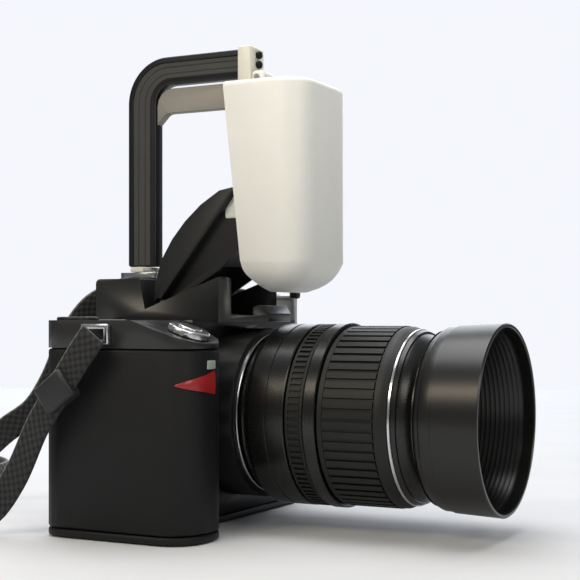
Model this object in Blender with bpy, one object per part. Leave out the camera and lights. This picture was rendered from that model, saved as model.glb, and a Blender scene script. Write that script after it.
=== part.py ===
"""Reflex camera with a zoom lens, a raised pop-up flash, and a shoe bracket that holds a box diffuser.

Frame: +Z up, the lens looks along -Y, the hand grip is at -X. The origin is on the underside of the
base, below the lens axis. Sizes are in millimetres and are turned to metres when a mesh is made.
"""

from math import asin, atan2, cos, pi, radians, sin, sqrt

import bmesh
import bpy
from mathutils import Matrix, Vector

MM = 0.001
GAP = 0.3  # clearance between neighbouring pieces

# Body: overall sizes and walls
BODY_WIDTH = 134.0
BODY_DEPTH = 50.0
FAR = 58.0
NEAR = FAR - BODY_WIDTH
BACK = BODY_DEPTH / 2
FRONT = -BODY_DEPTH / 2
GRIP_REACH = 20.0
GRIP_WIDTH = 34.0
GRIP_FRONT = FRONT - GRIP_REACH
GRIP_IN = NEAR + GRIP_WIDTH
BASE_T = 3.0
SEAM = 75.0
SHOULDER = 86.0
WALL = 2.4
CORNER = 6.0
GRIP_CORNER = 14.0
GRIP_INNER_CORNER = 14.0
REAR_CORNER = 10.0
RUBBER_EDGE = NEAR + 10.0
BUTTON_SLOPE_DROP = 9.0
BUTTON_SLOPE_RUN = 26.0

# Lens axis, mount and lens barrels, all turned about the lens axis
LENS_Z = 46.5
BOSS_R = 36.0
THROAT_R = 27.0
BOSS_FRONT = FRONT - 15.5
MOUNT_R = 33.0
MOUNT_T = 1.7
LENS_BACK = BOSS_FRONT - GAP - MOUNT_T - GAP
BARREL_R = 38.0
RING_T = 4.5
BARREL_LENGTH = 22.5
TUBE_R = BARREL_R - RING_T
TUBE_T = 2.0
FOCUS_WIDTH = 8.0
INDEX_WIDTH = 5.0
ZOOM_R = BARREL_R - 0.7
ZOOM_WIDTH = 29.2
FRONT_R = ZOOM_R - 6.8
FRONT_LENGTH = 9.1
SLEEVE_LENGTH = 24.0
SLEEVE_T = 2.5
HOOD_R = 38.3
HOOD_LENGTH = 27.5

# Prism housing, flash well and flash head
HUMP_HALF = 24.0
HUMP_TOP = SHOULDER + 18.0
HUMP_BACK = BACK + 9.0
PLATFORM_FRONT = BACK - 14.0
WELL_HALF = 20.5
WELL_BACK = BACK - 18.5
WELL_FLOOR = SHOULDER + 2.0
LID_SEAT = SHOULDER + 4.7  # low end of the slopes that the folded lid's corners lie over
CREST_Y = FRONT - 4.0
CREST_Z = SHOULDER + 18.4
NOSE_Y = FRONT - 20.0
NOSE_TIP_HALF = 9.0
NOSE_LOW = LENS_Z + max(BARREL_R, MOUNT_R) + 0.8
FLASH_PIVOT = (BACK - 23.0, SHOULDER + 8.0)
FLASH_HALF = 19.5
FLASH_ANGLE = 51.5
FLASH_REACH = 59.0
LID_HALF = 23.6
LID_T = 2.3

# Shoe, bracket and diffuser
SHOE_HALF = 10.6
SHOE_LENGTH = 18.0
SHOE_MID = BACK - 4.0
SHOE_Z = HUMP_TOP + GAP
FOOT_HALF = 9.0
FOOT_NECK_HALF = 5.5
FOOT_LENGTH = 7.0
POST_HALF = 3.5
POST_DEPTH = 14.5
POST_BACK = SHOE_MID + 10.0
POST_FRONT = POST_BACK - POST_DEPTH
POST_BOTTOM = HUMP_TOP + 6.0
ARM_TOP = POST_BOTTOM + 93.3
ARM_T = 12.3
ARM_END = FRONT - 2.0
ARM_INNER_R = 8.0
ARM_OUTER_R = 20.0
RAIL_HALF = 2.2
RAIL_T = 11.0
SLIT = 1.7
BLOCK_HALF = 6.5
BLOCK_DEPTH = 6.4
BLOCK_TOP = ARM_TOP + 0.6
BLOCK_HEIGHT = 17.0
PIN_R = 1.25
HOLE_R = PIN_R + GAP
KNUCKLE_R = 3.0
KNUCKLE_HALF = 3.2
PIN_HALF = BLOCK_HALF + 0.6
PIN_Y = ARM_END - GAP - BLOCK_DEPTH - KNUCKLE_R - GAP
PIN_Z = BLOCK_TOP - 14.0
DIFFUSER_HALF = 25.0
DIFFUSER_WALL = 1.8
DIFFUSER_TOP = PIN_Z - 4.0
DIFFUSER_HEIGHT = 88.0
DIFFUSER_FRONT = ARM_END - 40.5

# Strap: webbing in a plain round tube, a keeper on the grip side
STRAP_R = 6.0
KEEPER = (7.0, 15.0)
KEEPER_CLEAR = 3.0  # leaves room for the slanted ends of the tubes
LUG_T = 2.6


def material(name, colour, roughness, metallic=0.0):
    """A plain Principled material."""
    made = bpy.data.materials.new(name)
    made.use_nodes = True
    shader = made.node_tree.nodes["Principled BSDF"]
    shader.inputs["Base Color"].default_value = (*colour, 1.0)
    shader.inputs["Roughness"].default_value = roughness
    shader.inputs["Metallic"].default_value = metallic
    return made


def finish(name, bm, look):
    """Turns a bmesh in millimetres into an object, faces out."""
    bmesh.ops.remove_doubles(bm, verts=bm.verts, dist=1e-4)
    bmesh.ops.scale(bm, vec=(MM, MM, MM), verts=bm.verts)
    bmesh.ops.recalc_face_normals(bm, faces=bm.faces)
    mesh = bpy.data.meshes.new(name)
    bm.to_mesh(mesh)
    bm.free()
    mesh.shade_smooth()
    mesh.set_sharp_from_angle(angle=radians(35))
    made = bpy.data.objects.new(name, mesh)
    bpy.context.scene.collection.objects.link(made)
    if look:
        mesh.materials.append(material(f"{name}_look", *look))
    return made


def rounded(points, closed=True, steps=4):
    """The outline through (a, b, radius) points, each corner turned into an arc of its radius."""
    out = []
    last = len(points) - 1
    for i, (a, b, radius) in enumerate(points):
        here = Vector((a, b))
        if radius <= 0 or (not closed and i in (0, last)):
            out.append((a, b))
            continue
        back = (Vector(points[i - 1][:2]) - here).normalized()
        ahead = (Vector(points[(i + 1) % len(points)][:2]) - here).normalized()
        half = back.angle(ahead) / 2
        reach = radius / abs(sin(half) / cos(half))
        centre = here + (back + ahead).normalized() * (radius / sin(half))
        start = here + back * reach - centre
        turn = start.angle_signed(here + ahead * reach - centre)
        for k in range(steps + 1):
            spot = centre + Matrix.Rotation(-turn * k / steps, 2) @ start
            out.append((spot.x, spot.y))
    return out


def on_axis(axis, a, b, along):
    """A point of an outline (a, b) in the plane across an axis, at a place along it."""
    return {"X": (along, a, b), "Y": (a, along, b), "Z": (a, b, along)}[axis]


def prism(name, outline, axis, low, high, look=None, bevel=0.0):
    """An outline extruded along an axis, with its long edges optionally bevelled at both ends."""
    bm = bmesh.new()
    face = bm.faces.new([bm.verts.new(on_axis(axis, a, b, low)) for a, b in outline])
    grown = bmesh.ops.extrude_face_region(bm, geom=[face])["geom"]
    move = Vector(on_axis(axis, 0, 0, high - low))
    bmesh.ops.translate(bm, vec=move, verts=[v for v in grown if isinstance(v, bmesh.types.BMVert)])
    if bevel:
        ends = [f for f in bm.faces if len(f.verts) == len(outline)]
        rims = list({e for f in ends for e in f.edges})
        bmesh.ops.bevel(bm, geom=rims, offset=bevel, segments=2, profile=0.5, affect="EDGES")
    return finish(name, bm, look)


def block(name, low, high, look=None, bevel=0.0):
    """A box between two corners."""
    outline = [(low[0], low[1]), (high[0], low[1]), (high[0], high[1]), (low[0], high[1])]
    return prism(name, outline, "Z", low[2], high[2], look, bevel)


def lathe(name, profile, centre, axis, look=None, steps=40):
    """A closed profile of (along, radius) points turned about an axis through centre."""
    bm = bmesh.new()
    rings = []
    for k in range(steps):
        turn = 2 * pi * k / steps
        rings.append(
            [
                bm.verts.new(Vector(on_axis(axis, r * cos(turn), r * sin(turn), along)) + Vector(centre))
                for along, r in profile
            ]
        )
    for k in range(steps):
        one, two = rings[k], rings[(k + 1) % steps]
        for i in range(len(profile)):
            j = (i + 1) % len(profile)
            if profile[i][1] > 0 or profile[j][1] > 0:
                bm.faces.new([one[i], one[j], two[j], two[i]])
    bmesh.ops.remove_doubles(bm, verts=bm.verts, dist=1e-4)
    bmesh.ops.dissolve_degenerate(bm, edges=bm.edges, dist=1e-4)
    return finish(name, bm, look)


def rod(name, centre, axis, low, high, radius, look=None, steps=16):
    """A solid round bar."""
    return lathe(name, [(low, 0), (low, radius), (high, radius), (high, 0)], centre, axis, look, steps)


def combine(target, other, operation="DIFFERENCE", solver="EXACT"):
    """Cuts other out of target, or joins it on, and hides it."""
    modifier = target.modifiers.new(other.name, "BOOLEAN")
    modifier.operation = operation
    modifier.solver = solver
    modifier.object = other
    other.hide_render = True
    other.display_type = "WIRE"
    return target


def pivot(piece, point):
    """Moves the object's origin to a point, and leaves the shape where it is."""
    spot = Vector(point) * MM
    piece.data.transform(Matrix.Translation(-spot))
    piece.location = spot
    return piece


for leftover in list(bpy.data.objects):
    bpy.data.objects.remove(leftover, do_unlink=True)

BLACK = ((0.012, 0.012, 0.013), 0.5)
RUBBER = ((0.01, 0.01, 0.01), 0.75)
DARK_METAL = ((0.06, 0.06, 0.06), 0.4, 1.0)
STEEL = ((0.6, 0.6, 0.6), 0.3, 1.0)
CREAM = ((0.75, 0.74, 0.66), 0.5)
GLASS = ((0.05, 0.06, 0.08), 0.05)
GREY = ((0.25, 0.24, 0.22), 0.5)
GREEN = ((0.02, 0.12, 0.05), 0.5)
WEBBING = ((0.01, 0.01, 0.01), 0.9)


# ---- Base, covers and grip -------------------------------------------------------------------

body_plan = rounded(
    [
        (FAR, BACK, CORNER),
        (NEAR, BACK, REAR_CORNER),
        (NEAR, GRIP_FRONT, GRIP_CORNER),
        (GRIP_IN, GRIP_FRONT, GRIP_INNER_CORNER),
        (GRIP_IN, FRONT, 3.0),
        (FAR, FRONT, CORNER),
    ]
)
bottom_plate = prism("bottom_plate", body_plan, "Z", 0, BASE_T, BLACK, bevel=0.6)

# Battery door: lies in the base under the grip and turns down about its rear edge.
DOOR_X = (NEAR + 5.0, GRIP_IN - 5.0)
DOOR_BACK = GRIP_FRONT + 49.0
DOOR_FRONT = GRIP_FRONT + 6.4
DOOR_T = BASE_T - 0.6
DOOR_R = DOOR_T / 2
combine(
    bottom_plate,
    block(
        "cut_door",
        (DOOR_X[0] - GAP, DOOR_FRONT - GAP, -1),
        (DOOR_X[1] + GAP, DOOR_BACK + GAP, BASE_T + 1),
    ),
)
door_side = [(DOOR_FRONT, 0.3), (DOOR_FRONT, 0.3 + DOOR_T)] + [
    (DOOR_BACK - DOOR_R + DOOR_R * sin(pi * k / 6), 0.3 + DOOR_R + DOOR_R * cos(pi * k / 6)) for k in range(7)
]
battery_door = prism("battery_door", door_side, "X", *DOOR_X, BLACK)
pivot(battery_door, (0, DOOR_BACK - DOOR_R, 0.3 + DOOR_R))

SOCKET = (0, FRONT + 12.0)
SOCKET_R = 6.5
combine(bottom_plate, rod("cut_socket", (*SOCKET, 0), "Z", -1, BASE_T + 1, SOCKET_R + GAP, steps=32))
lathe("tripod_socket", [(0.2, 3.2), (0.2, SOCKET_R), (9, SOCKET_R), (9, 3.2)], (*SOCKET, 0), "Z", STEEL, 32)


def side_wall(name, path, look):
    """A wall from the base to the seam. path(inset) gives its outline at that depth, as an open line."""
    outline = rounded(path(0), closed=False) + rounded(path(WALL), closed=False)[::-1]
    return prism(name, outline, "Z", BASE_T + GAP, SEAM - GAP, look)


front_cover = side_wall(
    "front_cover",
    lambda i: [(GRIP_IN + GAP, FRONT + i, 0), (FAR - i, FRONT + i, CORNER - i), (FAR - i, -GAP / 2, 0)],
    BLACK,
)
boss = rod("boss", (0, 0, LENS_Z), "Y", BOSS_FRONT, FRONT + WALL, BOSS_R, steps=48)
combine(front_cover, boss, "UNION")
throat = rod("cut_throat", (0, 0, LENS_Z), "Y", BOSS_FRONT - 1, FRONT + WALL + 1, THROAT_R, steps=40)
combine(front_cover, throat)

rear_cover = side_wall(
    "rear_cover",
    lambda i: [(RUBBER_EDGE + GAP, BACK - i, 0), (FAR - i, BACK - i, CORNER - i), (FAR - i, GAP / 2, 0)],
    BLACK,
)
side_wall(
    "grip_rubber",
    lambda i: [
        (RUBBER_EDGE, BACK - i, 0),
        (NEAR + i, BACK - i, REAR_CORNER - i),
        (NEAR + i, GRIP_FRONT + i, GRIP_CORNER - i),
        (GRIP_IN - i, GRIP_FRONT + i, GRIP_INNER_CORNER - i),
        (GRIP_IN - i, FRONT + i, 0),
    ],
    RUBBER,
)

# Rear display in its window
SCREEN_X = (-20.0, 31.0)
SCREEN_Z = (16.0, 56.0)
combine(
    rear_cover,
    block("cut_screen", (SCREEN_X[0], BACK - WALL - 1, SCREEN_Z[0]), (SCREEN_X[1], BACK + 1, SCREEN_Z[1])),
)
block(
    "rear_display",
    (SCREEN_X[0] + GAP, BACK - WALL, SCREEN_Z[0] + GAP),
    (SCREEN_X[1] - GAP, BACK + 0.3, SCREEN_Z[1] - GAP),
    GLASS,
    bevel=0.3,
)

# Card door: turns out about its upright edge nearest the display.
CARD_X = (NEAR + 14.0, NEAR + 32.0)
CARD_Z = (10.0, 52.0)
CARD_T = 1.8
CARD_MID = BACK - 1.2
CARD_R = CARD_T / 2
combine(
    rear_cover,
    block("cut_card", (CARD_X[0] - GAP, BACK - WALL - 1, CARD_Z[0]), (CARD_X[1] + GAP, BACK + 1, CARD_Z[1])),
)
card_plan = [(CARD_X[0], CARD_MID + CARD_R), (CARD_X[0], CARD_MID - CARD_R)] + [
    (CARD_X[1] - CARD_R + CARD_R * sin(pi * k / 6), CARD_MID - CARD_R * cos(pi * k / 6)) for k in range(7)
]
card_door = prism("card_door", card_plan, "Z", CARD_Z[0] + GAP, CARD_Z[1] - GAP, BLACK)
pivot(card_door, (CARD_X[1] - CARD_R, CARD_MID, 0))

# Rear controls: a rocking pad and two buttons, each in its own hole
PAD_X = -31.0
PAD_Z = 44.0
PAD_R = 8.0


def rear_button(name, x, z, radius, travel):
    """A plain round button that stands proud of the rear cover in its own hole."""
    hole = rod(f"cut_{name}", (x, 0, z), "Y", BACK - WALL - 1, BACK + 1, radius + GAP, steps=24)
    combine(rear_cover, hole)
    inner = BACK - WALL - 0.6
    profile = [(inner, 0), (inner, radius), (BACK + travel, radius), (BACK + travel + 0.5, 0)]
    return pivot(lathe(name, profile, (x, 0, z), "Y", BLACK, 24), (x, BACK, z))


rear_button("selector_pad", PAD_X, PAD_Z, PAD_R, 1.4)
rear_button("menu_button", FAR - 15.0, 46.0, 3.2, 1.2)
rear_button("playback_button", FAR - 15.0, 30.0, 3.2, 1.2)


# ---- Top cover with the prism housing --------------------------------------------------------

top_cover = prism("top_cover", body_plan, "Z", SEAM, SHOULDER, BLACK)
slope = [
    (GRIP_FRONT - 4, SHOULDER - BUTTON_SLOPE_DROP * (BUTTON_SLOPE_RUN + 4) / BUTTON_SLOPE_RUN),
    (GRIP_FRONT + BUTTON_SLOPE_RUN + 3, SHOULDER + BUTTON_SLOPE_DROP * 3 / BUTTON_SLOPE_RUN),
    (GRIP_FRONT - 4, SHOULDER + 9),
]
combine(top_cover, prism("cut_slope", slope, "X", NEAR - 2, GRIP_IN + 1.0))
cavity_plan = rounded(
    [
        (FAR - WALL, BACK - WALL, CORNER - WALL),
        (NEAR + WALL, BACK - WALL, REAR_CORNER - WALL),
        (NEAR + WALL, FRONT + WALL, 1.0),
        (FAR - WALL, FRONT + WALL, CORNER - WALL),
    ]
)
combine(top_cover, prism("cut_inside", cavity_plan, "Z", SEAM - 2, SHOULDER - WALL))

hump_side = rounded(
    [
        (HUMP_BACK, SEAM + 1.5, 1.0),
        (HUMP_BACK, HUMP_TOP, 2.0),
        (PLATFORM_FRONT, HUMP_TOP, 0.8),
        (WELL_BACK + 2.0, LID_SEAT, 0),
        (CREST_Y, CREST_Z, 5.0),
        (CREST_Y - 10, CREST_Z - 2.6, 6.0),
        (NOSE_Y + 4.5, SHOULDER + 6.8, 3.0),
        (NOSE_Y, SHOULDER + 2.6, 1.0),
        (NOSE_Y + 0.5, NOSE_LOW, 0.6),
        (FRONT + 1, NOSE_LOW, 0),
        (FRONT + 2, SEAM + 1.5, 0),
    ],
    steps=3,
)
combine(top_cover, prism("hump", hump_side, "X", -HUMP_HALF, HUMP_HALF), "UNION")
prism_room = [
    (HUMP_BACK - WALL, SEAM - 2),
    (HUMP_BACK - WALL, HUMP_TOP - WALL),
    (PLATFORM_FRONT + 2.4, HUMP_TOP - WALL),
    (WELL_BACK + 3.6, SHOULDER + 0.2),
    (FRONT + 4, SHOULDER + 0.2),
    (FRONT + 4, SEAM - 2),
]
combine(top_cover, prism("cut_prism_room", prism_room, "X", -HUMP_HALF + WALL, HUMP_HALF - WALL))
flash_well = [
    (WELL_BACK, HUMP_TOP + 6),
    (WELL_BACK, WELL_FLOOR + 2.4),
    (FRONT + 1, WELL_FLOOR),
    (NOSE_Y + 5.5, WELL_FLOOR),
    (NOSE_Y + 5.5, SHOULDER + 5.4),
    (NOSE_Y - 1, SHOULDER + 9),
    (NOSE_Y - 1, HUMP_TOP + 6),
]
combine(top_cover, prism("cut_flash_well", flash_well, "X", -WELL_HALF, WELL_HALF))
for side in (-1, 1):
    nose_corner = [
        (side * NOSE_TIP_HALF, NOSE_Y - 1),
        (side * (HUMP_HALF + 1), NOSE_Y + 18),
        (side * (HUMP_HALF + 1), NOSE_Y - 1),
    ]
    combine(top_cover, prism("cut_nose_corner", nose_corner, "Z", NOSE_LOW - 1, HUMP_TOP))
combine(
    top_cover,
    rod("cut_boss", (0, 0, LENS_Z), "Y", BOSS_FRONT - 3, FRONT + WALL + 1, BOSS_R + GAP, steps=48),
)
# The finder's window in the rear of the housing
EYE_Z = SHOULDER - 2.0
EYE_HALF = (11.0, 6.5)
combine(
    top_cover,
    block(
        "cut_eye",
        (-EYE_HALF[0], HUMP_BACK - WALL - 2, EYE_Z - EYE_HALF[1]),
        (EYE_HALF[0], HUMP_BACK + 2, EYE_Z + EYE_HALF[1]),
    ),
)

# Shutter button and power switch on the sloping front of the grip
SLOPE_TURN = atan2(BUTTON_SLOPE_DROP, BUTTON_SLOPE_RUN)
BUTTON_X = NEAR + 16.0
BUTTON_Y = GRIP_FRONT + 9.5
BUTTON_Z = SHOULDER - BUTTON_SLOPE_DROP * (BUTTON_SLOPE_RUN - 9.5) / BUTTON_SLOPE_RUN
BUTTON_R = 4.6
SWITCH_R = 8.6


def on_slope(name, profile, look, steps=32):
    """A turned piece that stands on the slope at the shutter button's place."""
    made = lathe(name, profile, (0, 0, 0), "Z", look, steps)
    made.data.transform(Matrix.Rotation(SLOPE_TURN, 4, "X"))
    made.location = Vector((BUTTON_X, BUTTON_Y, BUTTON_Z)) * MM
    return made


stem_hole = on_slope("cut_stem", [(-9, 0), (-9, BUTTON_R - 1.0), (9, BUTTON_R - 1.0), (9, 0)], None, 24)
combine(top_cover, stem_hole)
STEM_R = BUTTON_R - 1.0 - GAP
on_slope(
    "shutter_button",
    [
        (-3.4, 0),
        (-3.4, STEM_R),
        (1.2, STEM_R),
        (1.2, BUTTON_R),
        (3.0, BUTTON_R),
        (3.5, BUTTON_R - 0.8),
        (3.2, 0),
    ],
    STEEL,
)
on_slope(
    "power_switch",
    [
        (GAP, BUTTON_R + GAP),
        (GAP, SWITCH_R),
        (2.4, SWITCH_R - 0.3),
        (2.8, SWITCH_R - 1.0),
        (2.8, BUTTON_R + GAP),
    ],
    STEEL,
)

# Dials and the small display on the shoulders
DIAL_R = 10.0
DIAL_SPOT = (FAR - 17.0, BACK - 22.0)
lathe(
    "mode_dial",
    [(GAP, 0), (GAP, DIAL_R), (6.0, DIAL_R), (7.0, DIAL_R - 0.8), (7.0, 0)],
    (0, 0, 0),
    "Z",
    DARK_METAL,
).location = Vector((*DIAL_SPOT, SHOULDER)) * MM
WHEEL_R = 8.5
WHEEL_SPOT = (NEAR + 15.0, BACK - 8.5, SHOULDER - 1.2)
combine(
    top_cover,
    rod("cut_wheel", WHEEL_SPOT, "Z", -3, 9, WHEEL_R + GAP, steps=32),
)
combine(
    rear_cover,
    rod("cut_wheel_rear", WHEEL_SPOT, "Z", -9, 9, WHEEL_R + GAP, steps=32),
)
lathe(
    "command_dial",
    [(-2.4, 0), (-2.4, WHEEL_R), (2.2, WHEEL_R), (2.6, WHEEL_R - 0.5), (2.6, 0)],
    (0, 0, 0),
    "Z",
    DARK_METAL,
    40,
).location = Vector(WHEEL_SPOT) * MM
LCD_X = (NEAR + 27.0, -HUMP_HALF - 3.0)
LCD_Y = (BACK - 24.0, BACK - 6.0)
combine(top_cover, block("cut_lcd", (LCD_X[0], LCD_Y[0], SHOULDER - 1.5), (LCD_X[1], LCD_Y[1], SHOULDER + 1)))
block(
    "top_display",
    (LCD_X[0] + GAP, LCD_Y[0] + GAP, SHOULDER - 1.5 + GAP),
    (LCD_X[1] - GAP, LCD_Y[1] - GAP, SHOULDER + 0.2),
    GLASS,
    bevel=0.3,
)


# ---- Inside: mirror box, finder, shutter, sensor, board and battery --------------------------

BOX_HALF = 17.0
BOX_BACK = FRONT + 31.0
BOX_FRONT = FRONT + WALL + 2.0
BOX_LOW = LENS_Z - 16.0
BOX_HIGH = LENS_Z + 18.0
mirror_box = block("mirror_box", (-BOX_HALF, BOX_FRONT, BOX_LOW), (BOX_HALF, BOX_BACK, BOX_HIGH), BLACK)
combine(
    mirror_box,
    block(
        "cut_box",
        (-BOX_HALF + 2, BOX_FRONT - 1, BOX_LOW + 2),
        (BOX_HALF - 2, BOX_BACK + 1, BOX_HIGH + 1),
    ),
)
MIRROR_T = 1.0
MIRROR_LENGTH = 27.0
MIRROR_SPOT = (0, BOX_BACK - 3.0, BOX_HIGH - 4.0)
mirror = block("reflex_mirror", (-13, -MIRROR_LENGTH, -MIRROR_T / 2), (13, 0, MIRROR_T / 2), STEEL)
mirror.data.transform(Matrix.Rotation(radians(45), 4, "X"))
mirror.location = Vector(MIRROR_SPOT) * MM
SCREEN_T = 1.5
block(
    "focusing_screen",
    (-BOX_HALF, BOX_FRONT + 2, BOX_HIGH + GAP),
    (BOX_HALF, BOX_BACK - 2, BOX_HIGH + GAP + SCREEN_T),
    GLASS,
)
PRISM_LOW = BOX_HIGH + SCREEN_T + 2 * GAP
prism_side = [
    (FRONT + 11, PRISM_LOW),
    (BACK - 11, PRISM_LOW),
    (BACK - 9.5, SHOULDER - 8),
    (BACK - 9.5, SHOULDER - 2.6),
    (FRONT + 19, SHOULDER - 0.4),
    (FRONT + 11, SHOULDER - 5),
]
prism("pentaprism", prism_side, "X", -13, 13, GLASS)
rod("eyepiece_lens", (0, 0, EYE_Z), "Y", HUMP_BACK - 9, HUMP_BACK - 6, 6.2, GLASS, 24)
eye_corners = [(-17, EYE_Z - 9, 5), (17, EYE_Z - 9, 5), (17, EYE_Z + 9, 5), (-17, EYE_Z + 9, 5)]
eye_outline = rounded(eye_corners, steps=3)
eyecup = prism("eyecup", eye_outline, "Y", HUMP_BACK + GAP, HUMP_BACK + 5, RUBBER, bevel=0.8)
combine(eyecup, block("cut_cup", (-10.5, HUMP_BACK - 1, EYE_Z - 6), (10.5, HUMP_BACK + 7, EYE_Z + 6)))

shutter = block("shutter_unit", (-22, BOX_BACK + 1, LENS_Z - 17), (22, BOX_BACK + 4, LENS_Z + 16), DARK_METAL)
combine(shutter, block("cut_gate", (-12, BOX_BACK, LENS_Z - 8), (12, BOX_BACK + 5, LENS_Z + 8)))
block("image_sensor", (-17, BOX_BACK + 6, LENS_Z - 13), (17, BOX_BACK + 8.5, LENS_Z + 13), GLASS)
block("main_board", (NEAR + 40, BACK - 8, 8), (FAR - 8, BACK - 6.4, PRISM_LOW - 4), GREEN)
block(
    "battery",
    (NEAR + 6, GRIP_FRONT + 7, BASE_T + 1),
    (GRIP_IN - 7, GRIP_FRONT + 46, BASE_T + 56),
    GREY,
    bevel=1.0,
)


# ---- Lens mount and lens ---------------------------------------------------------------------

AXIS = (0, 0, LENS_Z)
lathe(
    "mount_ring",
    [
        (BOSS_FRONT - GAP, 22.5),
        (BOSS_FRONT - GAP, MOUNT_R),
        (BOSS_FRONT - GAP - MOUNT_T, MOUNT_R),
        (BOSS_FRONT - GAP - MOUNT_T, 22.5),
    ],
    AXIS,
    "Y",
    STEEL,
)
TUBE_END = LENS_BACK - BARREL_LENGTH - FOCUS_WIDTH - INDEX_WIDTH - ZOOM_WIDTH - 2 * GAP
TUBE_IN = TUBE_R - TUBE_T
BARREL_END = LENS_BACK - BARREL_LENGTH
lathe(
    "lens_barrel",
    [
        (LENS_BACK, 22.5),
        (LENS_BACK, MOUNT_R),
        (LENS_BACK - 6.4, BARREL_R),
        (BARREL_END, BARREL_R),
        (BARREL_END, TUBE_R),
        (TUBE_END, TUBE_R),
        (TUBE_END, TUBE_IN),
        (LENS_BACK - 5, TUBE_IN),
        (LENS_BACK - 5, 22.5),
    ],
    AXIS,
    "Y",
    BLACK,
)
rod("rear_element", AXIS, "Y", LENS_BACK - 4.5, LENS_BACK - 1.5, 22.5 - GAP, GLASS, 32)
FOCUS_BACK = BARREL_END - 2 * GAP
INDEX_BACK = FOCUS_BACK - FOCUS_WIDTH - GAP
ZOOM_BACK = INDEX_BACK - INDEX_WIDTH - GAP


def ring(name, back, width, radius, look, taper=0.0):
    """A sleeve that turns on the lens tube, with an optional taper at its front."""
    inner = TUBE_R + GAP
    profile = [(back, inner), (back, radius)]
    if taper:
        profile.append((back - width + 2.8, radius))
    profile += [(back - width, radius - taper), (back - width, inner)]
    return lathe(name, profile, AXIS, "Y", look)


ring("focus_ring", FOCUS_BACK, FOCUS_WIDTH, BARREL_R, RUBBER)
ring("index_ring", INDEX_BACK, INDEX_WIDTH, BARREL_R + 0.3, BLACK)
ring("zoom_ring", ZOOM_BACK, ZOOM_WIDTH, ZOOM_R, RUBBER, taper=1.6)
CAP_BACK = ZOOM_BACK - ZOOM_WIDTH - GAP
FRONT_END = CAP_BACK - FRONT_LENGTH
SLEEVE_R = TUBE_IN - GAP
SLEEVE_IN = SLEEVE_R - SLEEVE_T
lathe(
    "front_barrel",
    [
        (CAP_BACK + SLEEVE_LENGTH, SLEEVE_IN),
        (CAP_BACK + SLEEVE_LENGTH, SLEEVE_R),
        (CAP_BACK, SLEEVE_R),
        (CAP_BACK, ZOOM_R - 2.0),
        (CAP_BACK - 1.3, ZOOM_R - 2.0),
        (CAP_BACK - 1.3, ZOOM_R - 2.8),
        (CAP_BACK - 7.9, FRONT_R),
        (FRONT_END, FRONT_R),
        (FRONT_END, SLEEVE_IN),
    ],
    AXIS,
    "Y",
    BLACK,
)
glass_r = SLEEVE_IN - GAP
DOME = 2.2
front_glass = [(CAP_BACK - 0.5, 0), (CAP_BACK - 0.5, glass_r), (CAP_BACK - 2.2, glass_r)]
front_glass += [(CAP_BACK - 2.2 - DOME * (1 - (k / 5 - 1) ** 2), glass_r * (1 - k / 5)) for k in range(1, 6)]
lathe("front_element", front_glass, AXIS, "Y", GLASS, 40)
HOOD_BACK = FRONT_END - GAP
HOOD_END = HOOD_BACK - HOOD_LENGTH
HOOD_WALL = 1.6
lathe(
    "lens_hood",
    [
        (HOOD_BACK, SLEEVE_IN),
        (HOOD_BACK, FRONT_R + 1.2),
        (HOOD_BACK - 3.5, HOOD_R - 1.5),
        (HOOD_BACK - 8.5, HOOD_R - 1.4),
        (HOOD_BACK - 8.7, HOOD_R - 0.8),
        (HOOD_END, HOOD_R),
        (HOOD_END, HOOD_R - HOOD_WALL),
        (HOOD_BACK - 9.5, HOOD_R - HOOD_WALL - 1.6),
        (HOOD_BACK - 6.5, HOOD_R - HOOD_WALL - 2.2),
        (HOOD_BACK - 3.0, FRONT_R - 0.3),
        (HOOD_BACK - 3.0, SLEEVE_IN),
    ],
    AXIS,
    "Y",
    BLACK,
)
RELEASE_X = sqrt((BOSS_R + 7.0) ** 2 - 10.0**2)
RELEASE_R = 4.5
RELEASE = (RELEASE_X, 0, LENS_Z - 10.0)
combine(
    front_cover,
    rod("cut_release", RELEASE, "Y", FRONT - 1, FRONT + WALL + 1, RELEASE_R + GAP, steps=24),
    solver="MANIFOLD",
)
pivot(
    lathe(
        "lens_release",
        [
            (FRONT + WALL + 0.6, 0),
            (FRONT + WALL + 0.6, RELEASE_R),
            (FRONT - 2.6, RELEASE_R),
            (FRONT - 3.2, 0),
        ],
        RELEASE,
        "Y",
        BLACK,
        24,
    ),
    (RELEASE[0], FRONT, RELEASE[2]),
)


# ---- Pop-up flash ----------------------------------------------------------------------------

PIVOT = Vector((0, *FLASH_PIVOT))
TURN = radians(FLASH_ANGLE)


def flash_point(reach, lift):
    """A (y, z) place on the raised head: reach along the lid from the hinge, lift off its middle."""
    return (
        FLASH_PIVOT[0] - reach * cos(TURN) + lift * sin(TURN),
        FLASH_PIVOT[1] + reach * sin(TURN) + lift * cos(TURN),
    )


FACE_Y = flash_point(FLASH_REACH, 0)[0]
FACE_TOP = flash_point(FLASH_REACH, 0)[1]
HEAD_LOW = FACE_TOP - 25.0
lid_side = [
    flash_point(-1.0, -0.5),
    flash_point(-1.0, LID_T - 0.5),
    flash_point(6.0, LID_T + 4.2),
    flash_point(15.0, LID_T + 7.6),
    flash_point(25.0, LID_T + 8.8),
    flash_point(35.0, LID_T + 8.4),
    flash_point(45.0, LID_T + 6.6),
    flash_point(FLASH_REACH - 4.0, LID_T + 3.0),
    flash_point(FLASH_REACH + 0.6, 1.2),
    flash_point(FLASH_REACH, -0.5),
]
flash_lid = prism("flash_lid", lid_side, "X", -LID_HALF, LID_HALF, BLACK, bevel=0.5)
head_side = [
    (FACE_Y + 0.4, FACE_TOP - 1.0),
    (FACE_Y + 0.4, HEAD_LOW),
    (FACE_Y + 9.0, HEAD_LOW - 8.0),
    flash_point(-1.5, -2.8),
    flash_point(-2.6, 0.2),
    flash_point(0.5, 1.0),
    flash_point(FLASH_REACH - 5, 1.0),
]
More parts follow.
